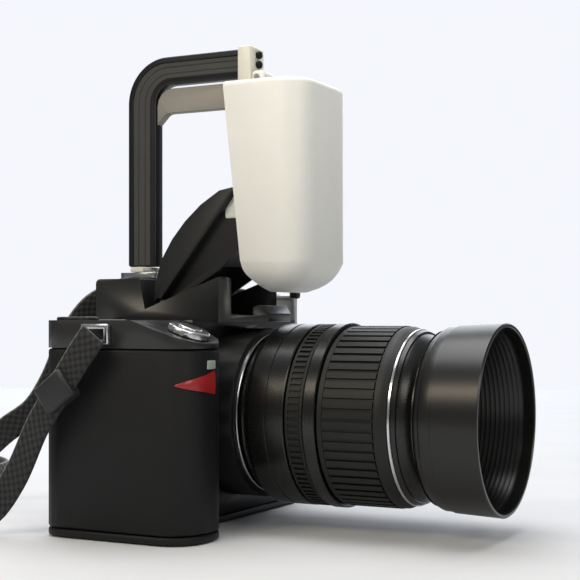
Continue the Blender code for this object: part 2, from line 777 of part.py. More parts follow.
combine(flash_lid, prism("head", head_side, "X", -FLASH_HALF, FLASH_HALF), "UNION")
hollow = [
    (FACE_Y + 9.0, HEAD_LOW + 4.5),
    (FACE_Y + 6.5, HEAD_LOW - 12.0),
    (FLASH_PIVOT[0] - 5.0, FLASH_PIVOT[1] - 9.0),
    flash_point(6.0, -3.0),
    flash_point(36.0, -2.4),
]
combine(flash_lid, prism("cut_hollow", hollow, "X", -FLASH_HALF + 2, FLASH_HALF - 2))
WINDOW_Z = (FACE_TOP - 12.3, FACE_TOP - 2.3)
WINDOW_HALF = 17.0
combine(
    flash_lid,
    block(
        "cut_window",
        (-WINDOW_HALF, FACE_Y - 2, WINDOW_Z[0]),
        (WINDOW_HALF, FACE_Y + 7.6, WINDOW_Z[1]),
    ),
)
combine(flash_lid, rod("cut_hinge", PIVOT, "X", -30, 30, HOLE_R, steps=16))
pivot(flash_lid, PIVOT)
for cutter in flash_lid.modifiers:
    pivot(cutter.object, PIVOT)
block(
    "flash_window",
    (-WINDOW_HALF + GAP, FACE_Y + 0.2, WINDOW_Z[0] + GAP),
    (WINDOW_HALF - GAP, FACE_Y + 1.7, WINDOW_Z[1] - GAP),
    CREAM,
)
trough = [
    (FACE_Y + 2.0, WINDOW_Z[0] + 0.4),
    (FACE_Y + 7.0, WINDOW_Z[0] + 1.8),
    (FACE_Y + 7.0, WINDOW_Z[1] - 1.8),
    (FACE_Y + 2.0, WINDOW_Z[1] - 0.4),
    (FACE_Y + 2.0, WINDOW_Z[1] - 1.2),
    (FACE_Y + 6.2, WINDOW_Z[1] - 2.6),
    (FACE_Y + 6.2, WINDOW_Z[0] + 2.6),
    (FACE_Y + 2.0, WINDOW_Z[0] + 1.2),
]
prism("flash_reflector", trough, "X", -WINDOW_HALF + 1, WINDOW_HALF - 1, STEEL)
rod("flash_tube", (0, FACE_Y + 4.2, sum(WINDOW_Z) / 2), "X", -15, 15, 1.3, GLASS, 12)
rod("flash_hinge_pin", PIVOT, "X", -WELL_HALF + GAP, WELL_HALF - GAP, PIN_R, STEEL, 12)


# ---- Accessory shoe, bracket and hinge -------------------------------------------------------

LIP_LOW = SHOE_Z + 2.1
LIP_IN = FOOT_NECK_HALF + GAP + 0.2
SHOE_WALL = 1.2
shoe_front = [
    (-SHOE_HALF, SHOE_Z),
    (SHOE_HALF, SHOE_Z),
    (SHOE_HALF, LIP_LOW + 0.8),
    (LIP_IN, LIP_LOW + 0.8),
    (LIP_IN, LIP_LOW),
    (SHOE_HALF - SHOE_WALL, LIP_LOW),
    (SHOE_HALF - SHOE_WALL, SHOE_Z + 0.5),
    (-SHOE_HALF + SHOE_WALL, SHOE_Z + 0.5),
    (-SHOE_HALF + SHOE_WALL, LIP_LOW),
    (-LIP_IN, LIP_LOW),
    (-LIP_IN, LIP_LOW + 0.8),
    (-SHOE_HALF, LIP_LOW + 0.8),
]
prism("hot_shoe", shoe_front, "Y", SHOE_MID - SHOE_LENGTH / 2, SHOE_MID + SHOE_LENGTH / 2, STEEL)
FOOT_LOW = SHOE_Z + 0.5 + GAP
FOOT_TOP = POST_BOTTOM - GAP
PAD_LOW = LIP_LOW + 0.8 + GAP
foot_front = [
    (-FOOT_HALF, FOOT_LOW),
    (FOOT_HALF, FOOT_LOW),
    (FOOT_HALF, LIP_LOW - GAP),
    (FOOT_NECK_HALF, LIP_LOW - GAP),
    (FOOT_NECK_HALF, PAD_LOW),
    (FOOT_HALF, PAD_LOW),
    (FOOT_HALF, FOOT_TOP),
    (-FOOT_HALF, FOOT_TOP),
    (-FOOT_HALF, PAD_LOW),
    (-FOOT_NECK_HALF, PAD_LOW),
    (-FOOT_NECK_HALF, LIP_LOW - GAP),
    (-FOOT_HALF, LIP_LOW - GAP),
]
FOOT_BACK = SHOE_MID + 5.0
prism("shoe_foot", foot_front, "Y", FOOT_BACK - FOOT_LENGTH, FOOT_BACK, CREAM)

ARM_LOW = ARM_TOP - ARM_T
arm_side = rounded(
    [
        (POST_BACK, POST_BOTTOM, 0.8),
        (POST_BACK, ARM_TOP, ARM_OUTER_R),
        (ARM_END, ARM_TOP, 1.5),
        (ARM_END, ARM_LOW, 2.0),
        (POST_FRONT, ARM_LOW, ARM_INNER_R),
        (POST_FRONT, POST_BOTTOM, 0.8),
    ],
    steps=8,
)
prism("bracket_arm", arm_side, "X", -POST_HALF, POST_HALF, BLACK, bevel=0.5)
RAIL_TOP = ARM_LOW - SLIT
RAIL_BACK = POST_FRONT - GAP
rail_side = rounded(
    [
        (RAIL_BACK, RAIL_TOP - RAIL_T - 5.0, 0),
        (RAIL_BACK, RAIL_TOP, ARM_INNER_R - 0.4),
        (ARM_END - 1.5, RAIL_TOP, 0.8),
        (ARM_END - 1.5, RAIL_TOP - RAIL_T, 0.8),
        (RAIL_BACK - 5.0, RAIL_TOP - RAIL_T, 4.5),
    ],
    steps=4,
)
prism("lower_rail", rail_side, "X", -RAIL_HALF, RAIL_HALF, GREY)

BLOCK_BACK = ARM_END - GAP
BLOCK_FRONT = BLOCK_BACK - BLOCK_DEPTH
BLOCK_LOW = BLOCK_TOP - BLOCK_HEIGHT
hinge_block = block(
    "hinge_block",
    (-BLOCK_HALF, BLOCK_FRONT, BLOCK_LOW),
    (BLOCK_HALF, BLOCK_BACK, BLOCK_TOP),
    CREAM,
    bevel=0.8,
)
combine(
    hinge_block,
    block(
        "cut_rail_end",
        (-RAIL_HALF - GAP, BLOCK_BACK - 1.8, BLOCK_LOW - 2),
        (RAIL_HALF + GAP, BLOCK_BACK + 2, RAIL_TOP + GAP),
    ),
)
PIN = (0, PIN_Y, PIN_Z)
knuckle_side = [
    (PIN_Y - KNUCKLE_R * sin(pi * k / 8), PIN_Z + KNUCKLE_R * cos(pi * k / 8)) for k in range(9)
] + [(BLOCK_FRONT + 1.0, PIN_Z - KNUCKLE_R), (BLOCK_FRONT + 1.0, PIN_Z + KNUCKLE_R)]
combine(hinge_block, prism("fixed_knuckle", knuckle_side, "X", -KNUCKLE_HALF, KNUCKLE_HALF), "UNION")
combine(hinge_block, rod("cut_pin", PIN, "X", -30, 30, HOLE_R, steps=16))
SCREW_R = 1.7
SCREW_SHANK = 1.1
for name, drop in (("block_screw_upper", 3.4), ("block_screw_lower", 7.6)):
    spot = (0, 0, BLOCK_TOP - drop)
    combine(
        hinge_block,
        rod(f"cut_{name}", spot, "Y", BLOCK_FRONT - 2, BLOCK_FRONT + 4.6, SCREW_SHANK + GAP, steps=16),
    )
    lathe(
        name,
        [
            (BLOCK_FRONT + 4.2, 0),
            (BLOCK_FRONT + 4.2, SCREW_SHANK),
            (BLOCK_FRONT - GAP, SCREW_SHANK),
            (BLOCK_FRONT - GAP, SCREW_R),
            (BLOCK_FRONT - 1.6, SCREW_R),
            (BLOCK_FRONT - 2.0, SCREW_R - 0.4),
            (BLOCK_FRONT - 2.0, 0),
        ],
        spot,
        "Y",
        BLACK,
        16,
    )
rod("hinge_pin", PIN, "X", -PIN_HALF, PIN_HALF, PIN_R, STEEL, 12)


# ---- Diffuser --------------------------------------------------------------------------------


def diffuser_shape(name, inset, look=None):
    """The diffuser's box, drawn in by inset on every wall; with an inset it runs out through the rear."""
    top = DIFFUSER_TOP - inset
    low = DIFFUSER_TOP - DIFFUSER_HEIGHT + inset
    front = DIFFUSER_FRONT + inset
    out = 8.0 if inset else 0.0
    outline = rounded(
        [
            (ARM_END - 3.4 + out, top, 0 if inset else 2.0),
            (front + 1.0, top, max(3.0 - inset, 1.0)),
            (front, low, 16.0 - inset),
            (ARM_END - 19.5, low, 0 if inset else 4.0),
            (ARM_END - 12.5 + (out - 2.0 if inset else 0), low + (0 if inset else 8.0), 0 if inset else 2.0),
        ],
        steps=5,
    )
    half = DIFFUSER_HALF - inset
    bm = bmesh.new()
    soft = 7.0 - inset
    turns = (pi / 6, pi / 3, pi / 2)
    rows = [(-half, soft)] + [(-half + soft * (1 - cos(a)), soft * (1 - sin(a))) for a in turns]
    rows += [(-x, pull) for x, pull in reversed(rows)]
    rings = []
    for x, pull in rows:
        spots = []
        for y, z in outline:
            near_front = min(max((ARM_END - 10.0 - y) / (ARM_END - 10.0 - front), 0), 1)
            spots.append(bm.verts.new((x, y + pull * near_front, z)))
        rings.append(spots)
    for one, two in zip(rings, rings[1:]):
        for i in range(len(outline)):
            j = (i + 1) % len(outline)
            bm.faces.new([one[i], one[j], two[j], two[i]])
    bm.faces.new(rings[0])
    bm.faces.new(rings[-1][::-1])
    return finish(name, bm, look)


diffuser = diffuser_shape("diffuser_shell", 0.0, CREAM)
combine(diffuser, diffuser_shape("cut_diffuser", DIFFUSER_WALL), solver="MANIFOLD")
for side in (-1, 1):
    lug = [
        (PIN_Y + KNUCKLE_R * cos(pi * k / 8), PIN_Z + KNUCKLE_R * sin(pi * k / 8)) for k in range(9)
    ] + [(PIN_Y - KNUCKLE_R - 1.0, DIFFUSER_TOP - 1.0), (PIN_Y + KNUCKLE_R - 0.4, DIFFUSER_TOP - 1.0)]
    low, high = sorted((side * (KNUCKLE_HALF + GAP), side * (BLOCK_HALF - 0.2)))
    combine(diffuser, prism(f"moving_knuckle_{side + 1}", lug, "X", low, high), "UNION")
combine(diffuser, rod("cut_diffuser_pin", PIN, "X", -30, 30, HOLE_R, steps=16))
pivot(diffuser, PIN)
for cutter in diffuser.modifiers:
    pivot(cutter.object, PIN)


# ---- Strap lugs and strap --------------------------------------------------------------------


def strap_lug(name, side, y_mid, low, high, half):
    """A flat steel eye on the end of the top cover, with a slot for the webbing."""
    wall = FAR if side > 0 else -NEAR
    low_x, high_x = sorted((side * (wall + GAP), side * (wall + GAP + LUG_T)))
    made = block(name, (low_x, y_mid - half, low), (high_x, y_mid + half, high), STEEL, bevel=0.5)
    mid = (low + high) / 2
    slot = block(
        f"cut_{name}",
        (low_x - 1, y_mid - half + 2.0, mid - (high - low) / 2 + 2.0),
        (high_x + 1, y_mid + half - 2.0, mid + (high - low) / 2 - 2.0),
    )
    return combine(made, slot)


LUG_NEAR_Y = BACK - 29.0
LUG_FAR_Y = BACK - 41.0
strap_lug("lug_near", -1, LUG_NEAR_Y, SEAM + 1.5, SHOULDER - 1.5, 6.5)
strap_lug("lug_far", 1, LUG_FAR_Y, SEAM + 4.0, SHOULDER + 12.0, 6.5)


def smooth_line(points, spacing):
    """Evenly read points of a smooth curve through the route's points."""
    ends = [Vector(points[0]) * 2 - Vector(points[1])] + [Vector(p) for p in points]
    ends.append(ends[-1] * 2 - ends[-2])
    fine = []
    for i in range(1, len(ends) - 2):
        a, b, c, d = ends[i - 1 : i + 3]
        for k in range(20):
            t = k / 20
            bend, twist = 2 * a - 5 * b + 4 * c - d, 3 * b - a - 3 * c + d
            fine.append(0.5 * (2 * b + (c - a) * t + bend * t**2 + twist * t**3))
    fine.append(ends[-2])
    out, since = [fine[0]], 0.0
    for one, two in zip(fine, fine[1:]):
        since += (two - one).length
        if since >= spacing:
            out.append(two)
            since = 0.0
    if (out[-1] - fine[-1]).length > spacing * 0.4:
        out.append(fine[-1])
    else:
        out[-1] = fine[-1]
    return out


def tube(name, points, look):
    """A round tube with closed ends along a line of points."""
    curve = bpy.data.curves.new(name, "CURVE")
    curve.dimensions = "3D"
    curve.bevel_depth = STRAP_R * MM
    curve.bevel_resolution = 2
    curve.use_fill_caps = True
    line = curve.splines.new("POLY")
    line.points.add(len(points) - 1)
    for spot, point in zip(line.points, points):
        spot.co = (*(point * MM), 1.0)
    made = bpy.data.objects.new(name, curve)
    curve.materials.append(material(f"{name}_look", *look))
    bpy.context.scene.collection.objects.link(made)
    return made


# The route of the webbing, from the grip side's eye down past the keeper, round on the table
# behind the camera, and up behind the finder to the far eye.
NEAR_END = [(-85.4, -8.5, 80.5), (-85.6, -2.5, 73.0), (-85.4, 3.2, 65.4)]
BAND = [
    (-84.8, 14.2, 50.8),
    (-84.2, 20.0, 42.6),
    (-83.6, 31.0, 23.0),
    (-84.5, 44.0, 8.6),
    (-90.0, 60.0, 6.4),
    (-108.0, 84.0, 6.4),
    (-128.0, 114.0, 6.4),
    (-134.0, 150.0, 6.4),
    (-116.0, 186.0, 6.4),
    (-76.0, 206.0, 6.4),
    (-30.0, 202.0, 6.4),
    (14.0, 214.0, 6.4),
    (50.0, 204.0, 6.4),
    (66.0, 172.0, 6.4),
    (48.0, 142.0, 6.4),
    (10.0, 128.0, 7.4),
    (-18.0, 110.0, 16.0),
    (-20.0, 89.5, 33.7),
    (-13.0, 77.0, 44.4),
    (-8.0, 70.3, 57.3),
    (-5.0, 64.0, 73.4),
    (0.0, 58.5, 87.0),
    (6.0, 52.5, 95.0),
    (24.0, 47.5, 101.0),
    (44.0, 37.0, 101.0),
    (60.0, 19.0, 97.0),
    (68.4, 2.0, 94.0),
    (68.2, -8.6, 92.4),
]
tube("strap_end", smooth_line(NEAR_END, 12.0), WEBBING)
tube("strap_band", smooth_line(BAND, 16.0), WEBBING)
keeper_from = Vector(NEAR_END[-1])
keeper_to = Vector(BAND[0])
keeper_way = (keeper_to - keeper_from).normalized()
keeper_half = (keeper_to - keeper_from).length / 2 - KEEPER_CLEAR
keeper = block(
    "strap_keeper",
    (-KEEPER[0] / 2, -KEEPER[1] / 2, -keeper_half),
    (KEEPER[0] / 2, KEEPER[1] / 2, keeper_half),
    BLACK,
    bevel=1.0,
)
keeper.data.transform(Matrix.Rotation(asin(-keeper_way.y), 4, "X"))
keeper.location = (keeper_from + keeper_to) / 2 * MM
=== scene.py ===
import math

import bmesh
import bpy
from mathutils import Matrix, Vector


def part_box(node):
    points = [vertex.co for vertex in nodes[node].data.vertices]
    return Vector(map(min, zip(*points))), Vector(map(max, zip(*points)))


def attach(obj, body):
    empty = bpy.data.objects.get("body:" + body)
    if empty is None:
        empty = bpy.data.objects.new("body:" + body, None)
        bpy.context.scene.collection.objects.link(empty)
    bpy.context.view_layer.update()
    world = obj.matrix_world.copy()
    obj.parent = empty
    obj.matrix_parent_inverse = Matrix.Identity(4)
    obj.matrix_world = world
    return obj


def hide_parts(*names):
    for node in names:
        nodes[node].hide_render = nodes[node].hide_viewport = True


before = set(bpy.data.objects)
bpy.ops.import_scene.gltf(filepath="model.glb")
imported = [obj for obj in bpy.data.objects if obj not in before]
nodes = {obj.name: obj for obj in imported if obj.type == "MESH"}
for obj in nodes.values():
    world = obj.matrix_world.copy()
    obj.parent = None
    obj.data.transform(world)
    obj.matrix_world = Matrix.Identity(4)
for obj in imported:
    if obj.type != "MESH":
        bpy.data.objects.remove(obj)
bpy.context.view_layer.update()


# ---- Camera and light ------------------------------------------------------------------------
# The view is level with the lens and looks across the grip side from 0.58 m away.
# A wide lamp overhead is the key; a broad one behind gives the pale rims, as a white tent does.

bpy.ops.object.camera_add(
    location=(-0.4945, -0.3015, 0.086), rotation=(math.radians(90), 0, math.radians(-63))
)
eye = bpy.context.object
eye.data.lens = 80.7
eye.data.sensor_width = 36
eye.data.shift_y = 0.052
eye.data.clip_start = 0.01
bpy.context.scene.camera = eye
bpy.context.scene.view_settings.view_transform = "Standard"


def linear(code):
    """An sRGB hex colour as linear RGBA."""
    parts = [int(code[i : i + 2], 16) / 255 for i in (0, 2, 4)]
    return tuple(c / 12.92 if c <= 0.04045 else ((c + 0.055) / 1.055) ** 2.4 for c in parts) + (1.0,)


def add(tree, kind, settings=None, **inputs):
    """Adds a node. Each input is a value, or an output that is linked to it; a name's _ is a space."""
    made = tree.nodes.new(kind)
    for key, value in (settings or {}).items():
        setattr(made, key, value)
    for key, value in inputs.items():
        name = key.replace("_", " ")
        socket = made.inputs[int(name[1:])] if name[1:].isdigit() else made.inputs[name]
        if isinstance(value, bpy.types.NodeSocket):
            tree.links.new(value, socket)
        else:
            socket.default_value = value
    return made


def lamp(name, place, aim, width, height, power, tint):
    bpy.ops.object.light_add(type="AREA", location=place)
    made = bpy.context.object
    made.name = name
    made.data.shape = "RECTANGLE"
    made.data.size, made.data.size_y = width, height
    made.data.energy = power
    made.data.color = linear(tint)[:3]
    made.rotation_euler = (Vector(aim) - Vector(place)).to_track_quat("-Z", "Y").to_euler()
    made.visible_camera = False


lamp("lamp_overhead", (0.1, 0.05, 1.1), (0, -0.02, 0.05), 0.9, 0.9, 11.0, "FFFFFF")
lamp("lamp_behind", (0.95, 0.5, 0.55), (0, 0, 0.1), 1.4, 0.9, 9.0, "F4F8FF")
lamp("lamp_grip_side", (-0.9, -0.1, 0.8), (0, 0, 0.08), 0.35, 0.35, 1.7, "FFFBEF")
lamp("lamp_barrel_sheen", (-0.72, 0.16, 0.56), (0, -0.09, 0.06), 0.34, 0.2, 1.9, "FFF0D6")
lamp("lamp_before_lens", (-0.45, -1.0, 0.65), (0, -0.06, 0.07), 0.4, 0.4, 2.4, "FFFBEF")

tent = bpy.data.worlds.new("white_tent")
tent.use_nodes = True
tent.node_tree.nodes.clear()
path = add(tent.node_tree, "ShaderNodeLightPath")
seen = add(tent.node_tree, "ShaderNodeBackground", Color=linear("F5F7FD"), Strength=1.0)
felt = add(tent.node_tree, "ShaderNodeBackground", Color=linear("EEF1F6"), Strength=0.22)
both = add(
    tent.node_tree,
    "ShaderNodeMixShader",
    _0=path.outputs["Is Camera Ray"],
    _1=felt.outputs[0],
    _2=seen.outputs[0],
)
add(tent.node_tree, "ShaderNodeOutputWorld", Surface=both.outputs[0])
bpy.context.scene.world = tent


# ---- Floor -----------------------------------------------------------------------------------
# A round sheet of pale grey paper lies flat under the camera.
# Matt paper has a faint fibre; here it gives only a slight mottle.

def deselect():
    if bpy.context.mode != "OBJECT":
        bpy.ops.object.mode_set(mode="OBJECT")
    bpy.ops.object.select_all(action="DESELECT")


def surface(name, colour, roughness, **sockets):
    """A material with a Principled shader, and the shader's settings that are one value all over."""
    made = bpy.data.materials.new(name)
    made.use_nodes = True
    shader = made.node_tree.nodes["Principled BSDF"]
    shader.inputs["Base Color"].default_value = linear(colour)
    shader.inputs["Roughness"].default_value = roughness
    for key, value in sockets.items():
        shader.inputs[key.replace("_", " ")].default_value = value
    return made, made.node_tree, shader


def grained(name, light, dark, grain, height, low, high, **sockets):
    """A moulded or cast finish: a grain of that size in millimetres gives colour, gloss and relief."""
    made, tree, shader = surface(name, dark, high, **sockets)
    spot = add(tree, "ShaderNodeTexCoord")
    place = spot.outputs["Object"]
    fine = add(tree, "ShaderNodeTexNoise", Vector=place, Scale=1000 / grain, Detail=3.0, Roughness=0.6)
    broad = add(tree, "ShaderNodeTexNoise", Vector=place, Scale=28.0, Detail=2.0, Roughness=0.5)
    tint = add(
        tree,
        "ShaderNodeMix",
        {"data_type": "RGBA"},
        _0=broad.outputs["Fac"],
        _6=linear(dark),
        _7=linear(light),
    )
    gloss = add(tree, "ShaderNodeMapRange", Value=fine.outputs["Fac"], To_Min=low, To_Max=high)
    relief = add(
        tree,
        "ShaderNodeBump",
        Height=fine.outputs["Fac"],
        Strength=0.6,
        Distance=height / 1000,
    )
    tree.links.new(tint.outputs[2], shader.inputs["Base Color"])
    tree.links.new(gloss.outputs[0], shader.inputs["Roughness"])
    tree.links.new(relief.outputs[0], shader.inputs["Normal"])
    return made


paper = grained("matt_grey_paper", "DADBDD", "D2D3D6", 3.0, 0.05, 0.85, 0.95)
deselect()
FLOOR_RADIUS = 1.13
bpy.ops.mesh.primitive_circle_add(
    vertices=96, radius=FLOOR_RADIUS, fill_type="NGON", location=(0, 0, -0.0005)
)
floor = bpy.context.object
floor.name = "paper_floor"
floor.data.materials.append(paper)


# ---- Neck strap ------------------------------------------------------------------------------
# Black polypropylene webbing 12 mm wide goes from the grip side's eye through a plastic slide,
# round on the table behind the camera and up to the far eye. It stands on its edge where it lies.

STRAP_POINTS = [
    (-85.4, -8.5, 80.5), (-85.6, -2.5, 73.0), (-85.4, 3.2, 65.4),
    (-84.8, 14.2, 50.8), (-84.2, 20.0, 42.6), (-83.6, 31.0, 23.0), (-84.5, 44.0, 8.6),
    (-90.0, 60.0, 6.4), (-108.0, 84.0, 6.4), (-128.0, 114.0, 6.4), (-134.0, 150.0, 6.4),
    (-116.0, 186.0, 6.4), (-76.0, 206.0, 6.4), (-30.0, 202.0, 6.4), (14.0, 214.0, 6.4),
    (50.0, 204.0, 6.4), (66.0, 172.0, 6.4), (48.0, 142.0, 6.4), (10.0, 128.0, 7.4),
    (-18.0, 110.0, 16.0), (-20.0, 89.5, 33.7), (-13.0, 77.0, 44.4), (-8.0, 70.3, 57.3),
    (-5.0, 64.0, 73.4), (0.0, 58.5, 87.0), (6.0, 52.5, 95.0), (24.0, 47.5, 101.0),
    (44.0, 37.0, 101.0), (60.0, 19.0, 97.0), (68.4, 2.0, 94.0), (68.2, -8.6, 92.4),
]
STRAP_HALF = 0.006
STRAP_THICK = 0.0016


def strap_route(points, spacing):
    """Even points of one smooth curve through the route, in metres."""
    ends = [Vector(p) / 1000 for p in points]
    ends = [ends[0] * 2 - ends[1], *ends, ends[-1] * 2 - ends[-2]]
    fine = []
    for i in range(1, len(ends) - 2):
        a, b, c, d = ends[i - 1 : i + 3]
        for k in range(24):
            t = k / 24
            bend, twist = 2 * a - 5 * b + 4 * c - d, 3 * b - a - 3 * c + d
            fine.append(0.5 * (2 * b + (c - a) * t + bend * t**2 + twist * t**3))
    fine.append(ends[-2])
    out, since = [fine[0]], 0.0
    for one, two in zip(fine, fine[1:]):
        since += (two - one).length
        if since >= spacing:
            out.append(two)
            since = 0.0
    out[-1] = fine[-1]
    return out


strap_line = strap_route(STRAP_POINTS, 0.0025)
widths = []
for i in range(len(strap_line)):
    ahead = (strap_line[min(i + 2, len(strap_line) - 1)] - strap_line[max(i - 2, 0)]).normalized()
    flat = Vector((-ahead.y, ahead.x, 0)).normalized()
    widths.append((ahead.cross(flat).normalized(), flat))
for _ in range(12):
    widths = [
        (
            (widths[max(i - 1, 0)][0] + widths[i][0] + widths[min(i + 1, len(widths) - 1)][0]).normalized(),
            (widths[max(i - 1, 0)][1] + widths[i][1] + widths[min(i + 1, len(widths) - 1)][1]).normalized(),
        )
        for i in range(len(widths))
    ]

# The section is a flat oblong with rolled edges, read round once.
half_thick = STRAP_THICK / 2
section = [(x, half_thick) for x in (-0.0052, -0.0026, 0.0, 0.0026, 0.0052)] + [(0.0058, half_thick * 0.6)]
section += [(0.006, 0.0)] + [(0.0058, -half_thick * 0.6)]
section += [(x, -half_thick) for x in (0.0052, 0.0026, 0.0, -0.0026, -0.0052)]
section += [(-0.0058, -half_thick * 0.6), (-0.006, 0.0), (-0.0058, half_thick * 0.6)]
strap_bm = bmesh.new()
uv = strap_bm.loops.layers.uv.new("weave")
rings = [
    [strap_bm.verts.new(spot + wide * a + flat * b) for a, b in section]
    for spot, (wide, flat) in zip(strap_line, widths)
]
for i, (one, two) in enumerate(zip(rings, rings[1:])):
    for j in range(len(section)):
        k = (j + 1) % len(section)
        face = strap_bm.faces.new([one[j], one[k], two[k], two[j]])
        for loop, (row, col) in zip(face.loops, ((i, j), (i, k), (i + 1, k), (i + 1, j))):
            loop[uv].uv = (row * 0.0025, section[col][0] + STRAP_HALF)
strap_bm.faces.new(rings[0])
strap_bm.faces.new(rings[-1][::-1])
bmesh.ops.recalc_face_normals(strap_bm, faces=strap_bm.faces)
strap_mesh = bpy.data.meshes.new("neck_strap")
strap_bm.to_mesh(strap_mesh)
strap_bm.free()
strap = bpy.data.objects.new("neck_strap", strap_mesh)
bpy.context.scene.collection.objects.link(strap)
strap_mesh.shade_smooth()

# Plain-woven polypropylene: threads 1.7 mm apart give a dark chequer, and a pale line along one edge is a
# painted highlight where that edge catches the light.
webbing, tree, shader = surface("woven_webbing", "151617", 0.7, Specular_IOR_Level=0.3, Sheen_Weight=0.15)
lie = add(tree, "ShaderNodeUVMap", {"uv_map": "weave"})
split = add(tree, "ShaderNodeSeparateXYZ", Vector=lie.outputs[0])
along = add(tree, "ShaderNodeMath", {"operation": "MULTIPLY"}, _0=split.outputs[0], _1=math.tau / 0.0034)
across = add(tree, "ShaderNodeMath", {"operation": "MULTIPLY"}, _0=split.outputs[1], _1=math.tau / 0.0034)
wave_a = add(tree, "ShaderNodeMath", {"operation": "SINE"}, _0=along.outputs[0])
wave_b = add(tree, "ShaderNodeMath", {"operation": "SINE"}, _0=across.outputs[0])
chequer = add(tree, "ShaderNodeMath", {"operation": "MULTIPLY"}, _0=wave_a.outputs[0], _1=wave_b.outputs[0])
level = add(tree, "ShaderNodeMapRange", Value=chequer.outputs[0], From_Min=-0.7, From_Max=0.7)
thread = add(
    tree,
    "ShaderNodeMix",
    {"data_type": "RGBA"},
    _0=level.outputs[0],
    _6=linear("0D0D0E"),
    _7=linear("2B2C2E"),
)
# Painted highlight: a pale grey line is painted along one edge of the webbing, where the edge catches the
# light.
rim = add(tree, "ShaderNodeMapRange", Value=split.outputs[1], From_Min=0.0111, From_Max=0.0118)
weave = add(
    tree,
    "ShaderNodeMix",
    {"data_type": "RGBA"},
    _0=rim.outputs[0],
    _6=thread.outputs[2],
    _7=linear("6C6D69"),
)
relief = add(tree, "ShaderNodeBump", Height=level.outputs[0], Strength=0.8, Distance=0.0004)
tree.links.new(weave.outputs[2], shader.inputs["Base Color"])
tree.links.new(relief.outputs[0], shader.inputs["Normal"])
strap_mesh.materials.append(webbing)
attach(strap, "camera")
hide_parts("strap_end", "strap_band")


def settle(piece, material, body, angle=35):
    """Finishes a piece: its place goes into its mesh, and it gets its material and body."""
    deselect()
    piece.select_set(True)
    bpy.context.view_layer.objects.active = piece
    bpy.ops.object.transform_apply(location=True, rotation=True, scale=True)
    for modifier in list(piece.modifiers):
        bpy.ops.object.modifier_apply(modifier=modifier.name)
    bpy.ops.object.shade_smooth_by_angle(angle=math.radians(angle))
    piece.data.materials.clear()
    piece.data.materials.append(material)
    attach(piece, body)
    return piece


def rounded_copy(node, name, material, body, width=0.0005, segments=2, angle=30):
    """Stands in for a CAD node with the same shape, its loose triangles merged and its edges rounded."""
    piece = bpy.data.objects.new(name, nodes[node].data.copy())
    bpy.context.scene.collection.objects.link(piece)
    deselect()
    piece.select_set(True)
    bpy.context.view_layer.objects.active = piece
    bpy.ops.object.mode_set(mode="EDIT")
    bpy.ops.mesh.select_all(action="SELECT")
    bpy.ops.mesh.remove_doubles(threshold=0.00002)
    bpy.ops.mesh.dissolve_limited(angle_limit=math.radians(1.0))
    bpy.ops.object.mode_set(mode="OBJECT")
    if width:
        soft = piece.modifiers.new("soft_edges", "BEVEL")
        soft.width = width
        soft.segments = segments
        soft.limit_method = "ANGLE"
        soft.angle_limit = math.radians(angle)
        soft.harden_normals = True
    settle(piece, material, body)
    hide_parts(node)
    return piece


# The slide that gathers the webbing below the eye: a small satin moulding with a raised bar.
satin_black = grained("satin_nylon", "2C2D2F", "1E1F21", 0.9, 0.02, 0.42, 0.55, Specular_IOR_Level=0.4)
keeper = rounded_copy("strap_keeper", "strap_slide", satin_black, "camera", 0.0012, 3)


# ---- Body covers -----------------------------------------------------------------------------
# Base, front, rear and top covers are glass-filled polycarbonate, moulded and spark-textured,
# screwed to an inner frame. The texture scatters light, so flats look charcoal and edges paler.

body_black = grained(
    "textured_polycarbonate", "161717", "0E0F0F", 0.7, 0.03, 0.46, 0.58, Specular_IOR_Level=0.3
)
# The top cover is the same plastic made glossier, and its paler grey is painted sheen standing in for the
# overhead lamp's light on the top.
satin_top_painted_sheen = grained("satin_polycarbonate_painted_sheen", "242525", "181919", 0.7, 0.02, 0.3, 0.42, Specular_IOR_Level=0.5)
for node, name, material, width in (
    ("bottom_plate", "base_cover", body_black, 0.0012),
    ("front_cover", "front_shell", body_black, 0.0006),
    ("rear_cover", "rear_shell", body_black, 0.0006),
    ("top_cover", "top_shell", satin_top_painted_sheen, 0.0006),
):
    rounded_copy(node, name, material, "camera", width)


# ---- Grip ------------------------------------------------------------------------------------
# A moulded elastomer skin is glued round the grip. It is matt and very dark, with a pinhead grain.

skin = grained("grip_elastomer", "0F1011", "080809", 1.1, 0.06, 0.5, 0.64, Specular_IOR_Level=0.3)
rounded_copy("grip_rubber", "grip_skin", skin, "camera", 0.0012, 3)

# A red accent is let into the skin at its front near corner and tapers towards the rear.
GRIP_CORNER_R = 0.014
ACCENT_START = -0.0562
ACCENT_LENGTH = 0.0205
ACCENT_HEIGHT = 0.0618
red = grained(
    "red_accent", "A8262B", "8C1418", 0.8, 0.012, 0.34, 0.46, Specular_IOR_Level=0.4, Coat_Weight=0.2
)
near_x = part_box("grip_rubber")[0].x
grip_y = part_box("grip_rubber")[0].y


def wrap(run, height, lift):
    """A point on the grip's front, run metres from its inner end towards and round the near corner."""
    straight = near_x + GRIP_CORNER_R - ACCENT_START
    if run < -straight:
        return Vector((ACCENT_START - run, grip_y - lift, height))
    turn = (run + straight) / GRIP_CORNER_R
    if turn > math.pi / 2:
        past = (turn - math.pi / 2) * GRIP_CORNER_R
        return Vector((near_x - lift, grip_y + GRIP_CORNER_R + past, height))
    reach = GRIP_CORNER_R + lift
    return Vector(
        (
            near_x + GRIP_CORNER_R - reach * math.sin(turn),
            grip_y + GRIP_CORNER_R - reach * math.cos(turn),
            height,
        )
    )


deselect()
bpy.ops.mesh.primitive_grid_add(x_subdivisions=28, y_subdivisions=6, size=1)
accent = bpy.context.object
accent.name = "red_grip_accent"
for vert in accent.data.vertices:
    share, side = vert.co.x + 0.5, vert.co.y
    half = 0.0044 * (1 - share) ** 0.8 + 0.0002
    bow = 0.0003 + 0.0004 * math.cos(side * math.pi)
    vert.co = wrap(ACCENT_LENGTH * share, ACCENT_HEIGHT + 2 * side * half - 0.0008 * share, bow)
settle(accent, red, "camera", 50)


